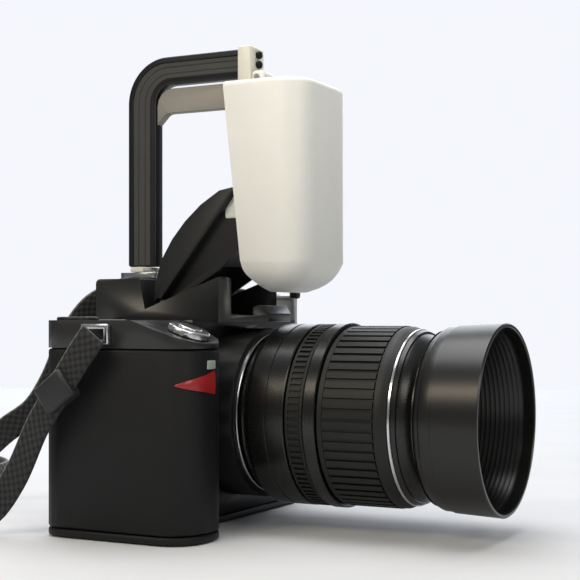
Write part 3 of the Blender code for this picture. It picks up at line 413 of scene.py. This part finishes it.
# ---- Lens ------------------------------------------------------------------------------------
# The lens's sleeves are turned and painted aluminium or glossy moulded plastic, with moulded
# rubber grips. Each is drawn as a closed profile of (place along the axis, radius), in millimetres.

LENS_AXIS_Z = (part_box("focus_ring")[0].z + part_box("focus_ring")[1].z) / 2


def turned(name, profile, steps):
    """A profile turned about the lens axis: a circle is extruded and resized from point to point."""
    deselect()
    start, radius = profile[0]
    bpy.ops.mesh.primitive_circle_add(
        vertices=steps,
        radius=radius / 1000,
        location=(0, start / 1000, LENS_AXIS_Z),
        rotation=(math.radians(90), 0, 0),
    )
    made = bpy.context.object
    made.name = name
    bpy.ops.object.transform_apply(location=True, rotation=True, scale=True)
    bpy.ops.object.mode_set(mode="EDIT")
    bpy.ops.mesh.select_mode(type="VERT")
    bpy.ops.mesh.select_all(action="SELECT")
    for (place, radius), (following, wider) in zip(profile, profile[1:]):
        bpy.ops.mesh.extrude_region_move(
            TRANSFORM_OT_translate={"value": (0, (following - place) / 1000, 0)}
        )
        bpy.ops.transform.resize(
            value=(wider / radius, 1, wider / radius), center_override=(0, following / 1000, LENS_AXIS_Z)
        )
    bpy.ops.object.mode_set(mode="OBJECT")
    shape = bmesh.new()
    shape.from_mesh(made.data)
    rims = [e for e in shape.edges if e.is_boundary]
    bmesh.ops.bridge_loops(shape, edges=rims)
    bmesh.ops.remove_doubles(shape, verts=shape.verts, dist=1e-6)
    bmesh.ops.recalc_face_normals(shape, faces=shape.faces)
    shape.to_mesh(made.data)
    shape.free()
    return made


def raise_ribs(piece, count, raised, of, low, high, radius, lift):
    """Lifts every rib of a turned grip: `raised` of each `of` faces, between two places on the axis."""
    deselect()
    bpy.context.view_layer.objects.active = piece
    piece.select_set(True)
    for face in piece.data.polygons:
        middle, out = face.center, face.normal
        off = math.hypot(middle.x, middle.z - LENS_AXIS_Z)
        turn = math.atan2(middle.z - LENS_AXIS_Z, middle.x) % math.tau
        place = int(turn / math.tau * count * of + 0.001) % of
        face.select = (
            low / 1000 < middle.y < high / 1000
            and off > radius / 1000
            and abs(out.y) < 0.3
            and place < raised
        )
    for edge in piece.data.edges:
        edge.select = False
    for vert in piece.data.vertices:
        vert.select = False
    bpy.ops.object.mode_set(mode="EDIT")
    bpy.ops.mesh.select_mode(type="FACE")
    bpy.ops.mesh.extrude_region_shrink_fatten(
        MESH_OT_extrude_region={}, TRANSFORM_OT_shrink_fatten={"value": lift / 1000}
    )
    bpy.ops.mesh.select_all(action="DESELECT")
    bpy.ops.object.mode_set(mode="OBJECT")


# Satin moulding: a fine even gloss gives the broad warm streak along the barrel and the hood.
lens_black = grained(
    "satin_lens_black", "11110F", "0B0B0B", 0.35, 0.005, 0.24, 0.31, Specular_IOR_Level=0.5
)
barrel = turned(
    "barrel_shell",
    [
        (-42.8, 22.5), (-42.8, 32.4), (-43.3, 33.0), (-48.6, 37.4), (-49.4, 37.9), (-50.2, 38.0),
        (-57.0, 38.0), (-57.3, 37.6), (-57.7, 37.6), (-58.0, 38.0), (-64.9, 38.0), (-65.3, 37.6),
        (-65.3, 33.5), (-108.1, 33.5), (-108.1, 31.5), (-47.8, 31.5), (-47.8, 22.5),
    ],
    128,
)
settle(barrel, lens_black, "camera", 25)
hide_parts("lens_barrel")

index = turned(
    "index_sleeve",
    [(-74.2, 33.9), (-74.2, 37.9), (-74.5, 38.3), (-78.9, 38.3), (-79.2, 37.9), (-79.2, 33.9)],
    128,
)
settle(index, lens_black, "camera", 25)
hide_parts("index_ring")

# The two grips are black rubber with raised bars along the axis, about 4 mm apart on the wider one.
ring_rubber = grained("ribbed_rubber", "161716", "0D0E0D", 0.8, 0.03, 0.42, 0.56, Specular_IOR_Level=0.38)
focus = turned(
    "focus_grip",
    [
        (-65.9, 33.9), (-65.9, 37.2), (-66.3, 37.6), (-67.4, 37.6), (-67.4, 37.2), (-72.4, 37.2),
        (-72.4, 37.6), (-73.5, 37.6), (-73.9, 37.2), (-73.9, 33.9),
    ],
    360,
)
raise_ribs(focus, 90, 2, 4, -72.3, -67.5, 36.8, 0.7)
settle(focus, ring_rubber, "focus_ring", 25)
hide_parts("focus_ring")

zoom = turned(
    "zoom_grip",
    [
        (-79.5, 33.9), (-79.5, 36.5), (-79.9, 36.9), (-81.8, 36.9), (-82.2, 36.4), (-103.4, 36.4),
        (-103.8, 36.9), (-105.9, 36.9), (-107.2, 36.3), (-108.7, 35.6), (-108.7, 33.9),
    ],
    348,
)
raise_ribs(zoom, 58, 4, 6, -103.3, -82.3, 36.0, 0.8)
settle(zoom, ring_rubber, "zoom_ring", 25)
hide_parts("zoom_ring")

front = turned(
    "front_sleeve",
    [
        (-85.0, 28.7), (-85.0, 31.2), (-109.0, 31.2), (-109.0, 35.0), (-110.6, 35.0), (-110.9, 34.5),
        (-111.8, 34.2), (-113.2, 33.4), (-115.0, 32.0), (-116.9, 30.6), (-117.9, 30.5), (-118.1, 30.3),
        (-118.1, 28.7),
    ],
    128,
)
settle(front, lens_black, "front_group", 25)
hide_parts("front_barrel")

# A bright aluminium trim ring is pressed over the front sleeve; its edge is finely milled.
bright_ring = grained("bright_aluminium", "E2E4E5", "BDBFC1", 0.3, 0.006, 0.14, 0.3, Metallic=1.0)
trim = turned(
    "silver_trim_ring",
    [(-109.0, 34.6), (-109.0, 35.6), (-109.2, 35.8), (-110.0, 35.8), (-110.2, 35.5), (-110.2, 34.6)],
    192,
)
milled = turned(
    "milled_front_band",
    [(-110.3, 33.6), (-110.3, 35.2), (-110.5, 35.4), (-112.0, 34.9), (-112.2, 34.6), (-112.2, 33.6)],
    360,
)
raise_ribs(milled, 90, 2, 4, -112.1, -110.4, 34.6, 0.25)
settle(milled, lens_black, "front_group", 25)
settle(trim, bright_ring, "front_group", 25)

# Hood: a thin moulded round cup, matt inside with ridges that stop stray light.
hood_black = grained(
    "satin_hood_black", "131211", "0C0C0B", 0.4, 0.006, 0.27, 0.35, Specular_IOR_Level=0.48
)
ridges = []
for k in range(11):
    back = -140.6 + 2.0 * k
    bore = 36.5 - 0.12 * k
    ridges += [(back, bore), (back + 1.2, bore - 0.5), (back + 1.3, bore)]
hood = turned(
    "hood_cup",
    [(-118.4, 28.7), (-118.4, 31.4), (-118.8, 31.9), (-120.6, 34.0), (-121.9, 36.4), (-123.0, 36.9)]
    + [(-126.8, 36.95), (-127.1, 37.5), (-144.6, 38.25), (-145.4, 38.3), (-145.9, 37.9), (-145.9, 36.9)]
    + [(-145.5, 36.6), (-141.6, 36.55)]
    + ridges
    + [(-119.4, 34.0), (-119.0, 31.0), (-119.0, 28.7)],
    160,
)
settle(hood, hood_black, "lens_hood", 25)
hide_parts("lens_hood")

# Coated glass, dark with a cool tint, on the front element, the glass behind it and the eyepiece.
coated = grained(
    "coated_glass",
    "0C1016",
    "07090D",
    0.6,
    0.0001,
    0.02,
    0.05,
    IOR=1.52,
    Coat_Weight=0.6,
    Coat_Tint=linear("8FA8C8"),
)
for node in ("front_element", "rear_element", "eyepiece_lens"):
    nodes[node].data.materials.clear()
    nodes[node].data.materials.append(coated)

# Mount flange: machined stainless steel, bright where it shows behind the barrel.
flange, tree, shader = surface("turned_steel", "C3C5C6", 0.24, Metallic=1.0)
spot = add(tree, "ShaderNodeTexCoord")
swirl = add(tree, "ShaderNodeTexNoise", Vector=spot.outputs["Object"], Scale=900.0, Detail=1.0)
relief = add(tree, "ShaderNodeBump", Height=swirl.outputs["Fac"], Strength=0.3, Distance=0.00003)
tree.links.new(relief.outputs[0], shader.inputs["Normal"])
mount = turned(
    "mount_flange",
    [(-40.8, 22.5), (-40.8, 33.6), (-41.0, 33.9), (-42.2, 33.9), (-42.5, 33.6), (-42.5, 22.5)],
    128,
)
settle(mount, flange, "camera", 25)
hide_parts("mount_ring")


# ---- Pop-up flash ----------------------------------------------------------------------------
# A domed polycarbonate lid is hinged in the prism housing. Behind its ribbed clear window lie a
# polished trough and a glass tube; the window's milky cover returns round the head's sides.

lid_black = grained("lid_polycarbonate", "232424", "181919", 0.7, 0.03, 0.42, 0.52, Specular_IOR_Level=0.35)
rounded_copy("flash_lid", "flash_dome", lid_black, "flash_head", 0.0006)
milky, tree, shader = surface(
    "milky_acrylic", "E9EAE2", 0.3, Subsurface_Weight=0.3, Subsurface_Radius=(0.004, 0.004, 0.003)
)
spot = add(tree, "ShaderNodeTexCoord")
ribs = add(
    tree,
    "ShaderNodeTexWave",
    {"bands_direction": "Z"},
    Vector=spot.outputs["Object"],
    Scale=260.0,
    Distortion=0.0,
)
relief = add(tree, "ShaderNodeBump", Height=ribs.outputs["Fac"], Strength=0.5, Distance=0.0002)
tree.links.new(relief.outputs[0], shader.inputs["Normal"])
rounded_copy("flash_window", "flash_fresnel", milky, "flash_head", 0.0003)
win_low, win_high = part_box("flash_window")


def shaped_box(name, low, high, material, body, width, segments=3):
    """A rounded block between two corners in millimetres."""
    deselect()
    middle = [(a + b) / 2000 for a, b in zip(low, high)]
    bpy.ops.mesh.primitive_cube_add(size=1, location=middle)
    made = bpy.context.object
    made.name = name
    made.scale = [(b - a) / 1000 for a, b in zip(low, high)]
    bpy.ops.object.transform_apply(location=True, rotation=True, scale=True)
    bpy.ops.object.mode_set(mode="EDIT")
    bpy.ops.mesh.select_all(action="SELECT")
    bpy.ops.mesh.bevel(offset=width / 1000, segments=segments, profile=0.5, affect="EDGES")
    bpy.ops.object.mode_set(mode="OBJECT")
    return settle(made, material, body)


for side in (-1, 1):
    ends = sorted((side * 16.6, side * 20.2))
    shaped_box(
        f"flash_window_return_{'left' if side < 0 else 'right'}",
        (ends[0], win_low.y * 1000 - 0.2, win_low.z * 1000 + 0.6),
        (ends[1], win_low.y * 1000 + 5.4, win_high.z * 1000 + 0.4),
        milky,
        "flash_head",
        0.6,
    )


# ---- Accessory shoe and bracket --------------------------------------------------------------
# The stamped steel shoe takes a cream nylon foot. The bracket is a black moulded beam whose sides
# have a recessed panel, painted a paler grey as painted sheen; a grey rail runs below its arm, and a cream
# block ends it.

cream = grained("cream_abs", "EDEBDF", "E2DFD0", 0.9, 0.02, 0.36, 0.46, Specular_IOR_Level=0.45)
rounded_copy("hot_shoe", "shoe_plate", flange, "camera", 0.0002)
rounded_copy("shoe_foot", "foot_slide", cream, "camera", 0.0003)
rounded_copy("hinge_block", "end_block", cream, "camera", 0.0004)
grey_rail = grained("grey_nylon", "9A958C", "8A857C", 0.9, 0.02, 0.48, 0.58)
rounded_copy("lower_rail", "grey_rail", grey_rail, "camera", 0.0004)

beam_black = grained("beam_black", "131517", "0B0C0E", 0.8, 0.02, 0.36, 0.48, Specular_IOR_Level=0.35)
# Painted sheen: a mid grey for the sunk side panels, standing in for the light the black sides reflect.
panel_painted_sheen = grained("beam_panel_painted_sheen", "444442", "333332", 0.9, 0.02, 0.5, 0.6)

# Each station across the beam has an outer point, an inner point and how far its ends are drawn in.
beam_low, beam_high = [corner * 1000 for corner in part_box("bracket_arm")]
BEAM_BACK, BEAM_FOOT, BEAM_TOP, BEAM_END = beam_high.y, beam_low.z, beam_high.z, beam_low.y
BEAM_INNER = BEAM_BACK - 14.5
BEAM_LOW = BEAM_TOP - 12.3
OUTER_BEND = 20.0
INNER_BEND = 8.0
BEND_STEPS = 16
stations = [
    ((BEAM_BACK, z), (BEAM_INNER, z), tight) for z, tight in ((BEAM_FOOT, 0.7), (BEAM_FOOT + 0.7, 0))
]
for step in range(BEND_STEPS + 1):
    turn = math.pi / 2 * step / BEND_STEPS
    across, up = math.cos(turn) - 1, math.sin(turn) - 1
    outer = (BEAM_BACK + OUTER_BEND * across, BEAM_TOP + OUTER_BEND * up)
    inner = (BEAM_INNER + INNER_BEND * across, BEAM_LOW + INNER_BEND * up)
    stations.append((outer, inner, 0))
stations += [((y, BEAM_TOP), (y, BEAM_LOW), tight) for y, tight in ((BEAM_END + 0.9, 0), (BEAM_END, 0.9))]

# The section goes from the outer edge over the rim, the sunk panel and its two grooves to the inner edge.
# Each point is (millimetres on, from this share of the depth, half width).
side_line = [(0.0, 0, 2.7), (0.3, 0, 3.2), (0.8, 0, 3.5), (2.5, 0, 3.5), (2.9, 0, 3.0)]
grooves = [(0, 0.36, 3.0), (0.3, 0.36, 2.7), (0.6, 0.36, 3.0)]
grooves += [(-0.6, 0.64, 3.0), (-0.3, 0.64, 2.7), (0, 0.64, 3.0)]
side_line += grooves + [(-a, 1, x) for a, _, x in reversed(side_line)]
section = side_line + [(a, share, -x) for a, share, x in reversed(side_line)]
deselect()
bpy.ops.mesh.primitive_grid_add(x_subdivisions=len(section), y_subdivisions=len(stations) - 1, size=1)
beam = bpy.context.object
beam.name = "bracket_beam"
for vert in beam.data.vertices:
    place = round((vert.co.x + 0.5) * len(section)) % len(section)
    outer, inner, tight = stations[round((vert.co.y + 0.5) * (len(stations) - 1))]
    span = math.dist(outer, inner)
    offset, share, x = section[place]
    across = (share * span + offset - span / 2) * (1 - 2 * tight / span) / span + 0.5
    vert.co = (
        (x - math.copysign(tight, x)) / 1000,
        (outer[0] + (inner[0] - outer[0]) * across) / 1000,
        (outer[1] + (inner[1] - outer[1]) * across) / 1000,
    )
shape = bmesh.new()
shape.from_mesh(beam.data)
bmesh.ops.remove_doubles(shape, verts=shape.verts, dist=1e-6)
bmesh.ops.holes_fill(shape, edges=[e for e in shape.edges if e.is_boundary])
bmesh.ops.recalc_face_normals(shape, faces=shape.faces)
shape.to_mesh(beam.data)
shape.free()
settle(beam, beam_black, "camera", 40)
# The sunk panels and their grooves get the painted sheen grey.
beam.data.materials.append(panel_painted_sheen)
for face in beam.data.polygons:
    if 0.0028 < abs(face.center.x) < 0.0031 and abs(face.normal.x) > 0.5:
        face.material_index = 1
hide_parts("bracket_arm")

# Two black oxide pan-head screws hold the block on the arm, and a steel pin carries the diffuser.
oxide = grained("black_oxide_steel", "1F2021", "151617", 0.4, 0.006, 0.34, 0.46, Metallic=0.7)
for node, name in (("block_screw_upper", "upper_screw"), ("block_screw_lower", "lower_screw")):
    rounded_copy(node, name, oxide, "camera", 0.0002)


# ---- Diffuser --------------------------------------------------------------------------------
# A thin-walled white polyethylene box, open towards the flash, with wide soft corners.
# The skin is milky: light sinks in a little, so its edges glow and its underside goes warm grey.

BOX_REAR = -30.4
BOX_FRONT = -67.5
BOX_HALF = 25.0
BOX_TOP = 185.9
BOX_WALL = 0.0018
RIM_HEIGHT = 0.0799
RIM_SLANT = 0.112
FOOT_SLANT = 0.8
# How far in from the box's outline each height is.
DIFFUSER_STEPS = [
    (BOX_TOP, 3.2), (185.7, 1.9), (185.1, 0.9), (184.3, 0.3), (183.1, 0.0), (146.0, 0.0), (110.6, 0.0),
    (109.4, 0.5), (107.2, 1.4), (105.0, 2.7), (103.0, 4.3), (101.2, 6.4), (99.6, 9.0), (97.9, 13.4),
]
deselect()
depth = BOX_REAR - BOX_FRONT
first_in = DIFFUSER_STEPS[0][1]
box_middle = BOX_REAR - (depth - first_in) / 2
bpy.ops.mesh.primitive_plane_add(size=1, location=(0, box_middle / 1000, BOX_TOP / 1000))
box = bpy.context.object
box.name = "diffuser_box"
box.scale = (2 * (BOX_HALF - first_in) / 1000, (depth - first_in) / 1000, 1)
bpy.ops.object.transform_apply(location=True, rotation=True, scale=True)
for vert in box.data.vertices:
    vert.select = vert.co.y < BOX_FRONT / 1000 + 0.004
for edge in box.data.edges:
    edge.select = False
for face in box.data.polygons:
    face.select = False
bpy.ops.object.mode_set(mode="EDIT")
bpy.ops.mesh.select_mode(type="VERT")
bpy.ops.mesh.bevel(offset=0.011, segments=9, profile=0.5, affect="VERTICES")
bpy.ops.mesh.select_all(action="SELECT")
for (z, inset), (lower, following) in zip(DIFFUSER_STEPS, DIFFUSER_STEPS[1:]):
    bpy.ops.mesh.extrude_region_move(TRANSFORM_OT_translate={"value": (0, 0, (lower - z) / 1000)})
    bpy.ops.transform.resize(
        value=((BOX_HALF - following) / (BOX_HALF - inset), (depth - following) / (depth - inset), 1),
        center_override=(0, BOX_REAR / 1000, lower / 1000),
    )
bpy.ops.object.mode_set(mode="OBJECT")
shape = bmesh.new()
shape.from_mesh(box.data)
bmesh.ops.remove_doubles(shape, verts=shape.verts, dist=1e-6)
bmesh.ops.recalc_face_normals(shape, faces=shape.faces)
open_rear = [f for f in shape.faces if f.normal.y > 0.95]
bmesh.ops.delete(shape, geom=open_rear, context="FACES")
for vert in shape.verts:
    if vert.co.y > BOX_REAR / 1000 - 0.0005:
        drop = max(BOX_TOP / 1000 - vert.co.z, 0)
        vert.co.y -= RIM_SLANT * min(drop, RIM_HEIGHT) + FOOT_SLANT * max(drop - RIM_HEIGHT, 0)
shape.to_mesh(box.data)
shape.free()
skin_wall = box.modifiers.new("wall", "SOLIDIFY")
skin_wall.thickness = BOX_WALL
skin_wall.offset = -1
rim_soft = box.modifiers.new("rim", "BEVEL")
rim_soft.width = 0.0005
rim_soft.segments = 2
rim_soft.angle_limit = math.radians(50)
polyethylene, tree, shader = surface(
    "milky_polyethylene", "F4F3EC", 0.42, Subsurface_Weight=0.45, Subsurface_Radius=(0.006, 0.006, 0.0045)
)
spot = add(tree, "ShaderNodeTexCoord")
flow = add(tree, "ShaderNodeTexNoise", Vector=spot.outputs["Object"], Scale=34.0, Detail=2.0)
tint = add(
    tree,
    "ShaderNodeMix",
    {"data_type": "RGBA"},
    _0=flow.outputs["Fac"],
    _6=linear("F1F0E8"),
    _7=linear("FAF9F3"),
)
grain = add(tree, "ShaderNodeTexNoise", Vector=spot.outputs["Object"], Scale=1100.0, Detail=2.0)
relief = add(tree, "ShaderNodeBump", Height=grain.outputs["Fac"], Strength=0.4, Distance=0.00002)
tree.links.new(tint.outputs[2], shader.inputs["Base Color"])
tree.links.new(relief.outputs[0], shader.inputs["Normal"])
settle(box, polyethylene, "diffuser", 42)
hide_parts("diffuser_shell")
pin_low, pin_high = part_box("hinge_pin")
pin_y, pin_z = (pin_low.y + pin_high.y) * 500, (pin_low.z + pin_high.z) * 500
for side in (-1, 1):
    ends = sorted((side * 3.5, side * (pin_high.x * 1000 - 0.8)))
    shaped_box(
        f"diffuser_knuckle_{'left' if side < 0 else 'right'}",
        (ends[0], pin_y - 3.0, 184.8),
        (ends[1], pin_y + 3.0, pin_z + 3.0),
        polyethylene,
        "diffuser",
        1.6,
    )


# ---- Controls, lugs and windows ---------------------------------------------------------------
# Buttons and dials are moulded or turned and stand in their own holes, with a hair gap round each.
# The near strap eye and the power ring are bright steel; the far eye is a paler cast fitting.

chrome = grained("satin_chrome", "D2D4D6", "BDBFC2", 0.5, 0.004, 0.2, 0.32, Metallic=1.0)
zinc = grained("matt_zinc", "DCDEDF", "B6B9BC", 0.4, 0.012, 0.3, 0.5, Metallic=0.45)
dial_metal = grained("black_anodised", "2A2B2C", "1D1E1F", 0.6, 0.01, 0.34, 0.46, Metallic=0.4)
for node, name, material, body, slot in (
    ("shutter_button", "release_button", chrome, "shutter_button", "bright_steel"),
    ("power_switch", "power_ring", chrome, "power_switch", "bright_steel"),
    ("mode_dial", "mode_wheel", dial_metal, "mode_dial", "dark_metal"),
    ("command_dial", "thumb_wheel", dial_metal, "command_dial", "dark_metal"),
    ("selector_pad", "rocker_pad", satin_black, "selector_pad", "moulded_black"),
    ("menu_button", "menu_key", satin_black, "menu_button", "moulded_black"),
    ("playback_button", "playback_key", satin_black, "playback_button", "moulded_black"),
    ("lens_release", "lens_release_key", satin_black, "lens_release", "moulded_black"),
    ("card_door", "card_flap", skin, "card_door", "moulded_black"),
    ("battery_door", "battery_flap", body_black, "battery_door", "moulded_black"),
    ("eyecup", "eye_rubber", skin, "camera", "grip_rubber"),
    ("lug_near", "near_strap_eye", chrome, "camera", "bright_steel"),
    ("lug_far", "far_strap_eye", zinc, "camera", "bright_steel"),
    ("tripod_socket", "tripod_bush", chrome, "camera", "bright_steel"),
):
    rounded_copy(node, name, material, body, 0.0003)
lens_pale = grained("lamp_window", "AEB8AF", "98A39A", 0.8, 0.004, 0.08, 0.16, Coat_Weight=0.5)
shaped_box("focus_lamp_window", (-61.6, -45.5, 66.9), (-55.6, -44.4, 70.4), lens_pale, "camera", 0.5)
shaped_box("far_eye_tab", (59.0, -20.6, 84.5), (60.3, -11.4, 96.4), zinc, "camera", 0.5)
shaped_box("far_eye_knob", (57.9, -24.2, 96.2), (61.4, -19.4, 100.6), satin_black, "camera", 1.2)

# Toughened display covers: near black, with a hard clean gloss.
screen = grained("display_cover", "0A0C0F", "06080A", 1.2, 0.0005, 0.04, 0.08, Coat_Weight=0.7)
for node in ("rear_display", "top_display"):
    nodes[node].data.materials.clear()
    nodes[node].data.materials.append(screen)


# ---- Inside ----------------------------------------------------------------------------------
# Optical glass, blackened metal, a solder-masked board and a plain battery lie within the covers.
# They keep the shapes they have in the frame and get their real finishes.

optic = grained(
    "optical_glass", "F4F6F6", "ECEFEF", 1.0, 0.0001, 0.01, 0.03, Transmission_Weight=0.9, IOR=1.52
)
mirror_finish = grained("silvered_mirror", "E8EAEB", "DDDFE1", 1.0, 0.0002, 0.02, 0.05, Metallic=1.0)
blackened = grained("blackened_alloy", "1C1C1D", "131314", 0.6, 0.02, 0.6, 0.75, Metallic=0.3)
board = grained("green_solder_mask", "1F5A36", "17482B", 2.4, 0.03, 0.3, 0.4)
cell = grained("battery_case", "3B3D40", "303235", 1.0, 0.02, 0.5, 0.6)
steel_pin = grained("ground_steel", "BCBEC0", "A9ABAD", 0.3, 0.004, 0.24, 0.36, Metallic=1.0)
for node, material in (
    ("focusing_screen", optic), ("pentaprism", optic), ("image_sensor", screen), ("flash_tube", optic),
    ("reflex_mirror", mirror_finish), ("flash_reflector", mirror_finish), ("mirror_box", blackened),
    ("shutter_unit", blackened), ("main_board", board), ("battery", cell), ("flash_hinge_pin", steel_pin),
    ("hinge_pin", steel_pin),
):
    nodes[node].data.materials.clear()
    nodes[node].data.materials.append(material)
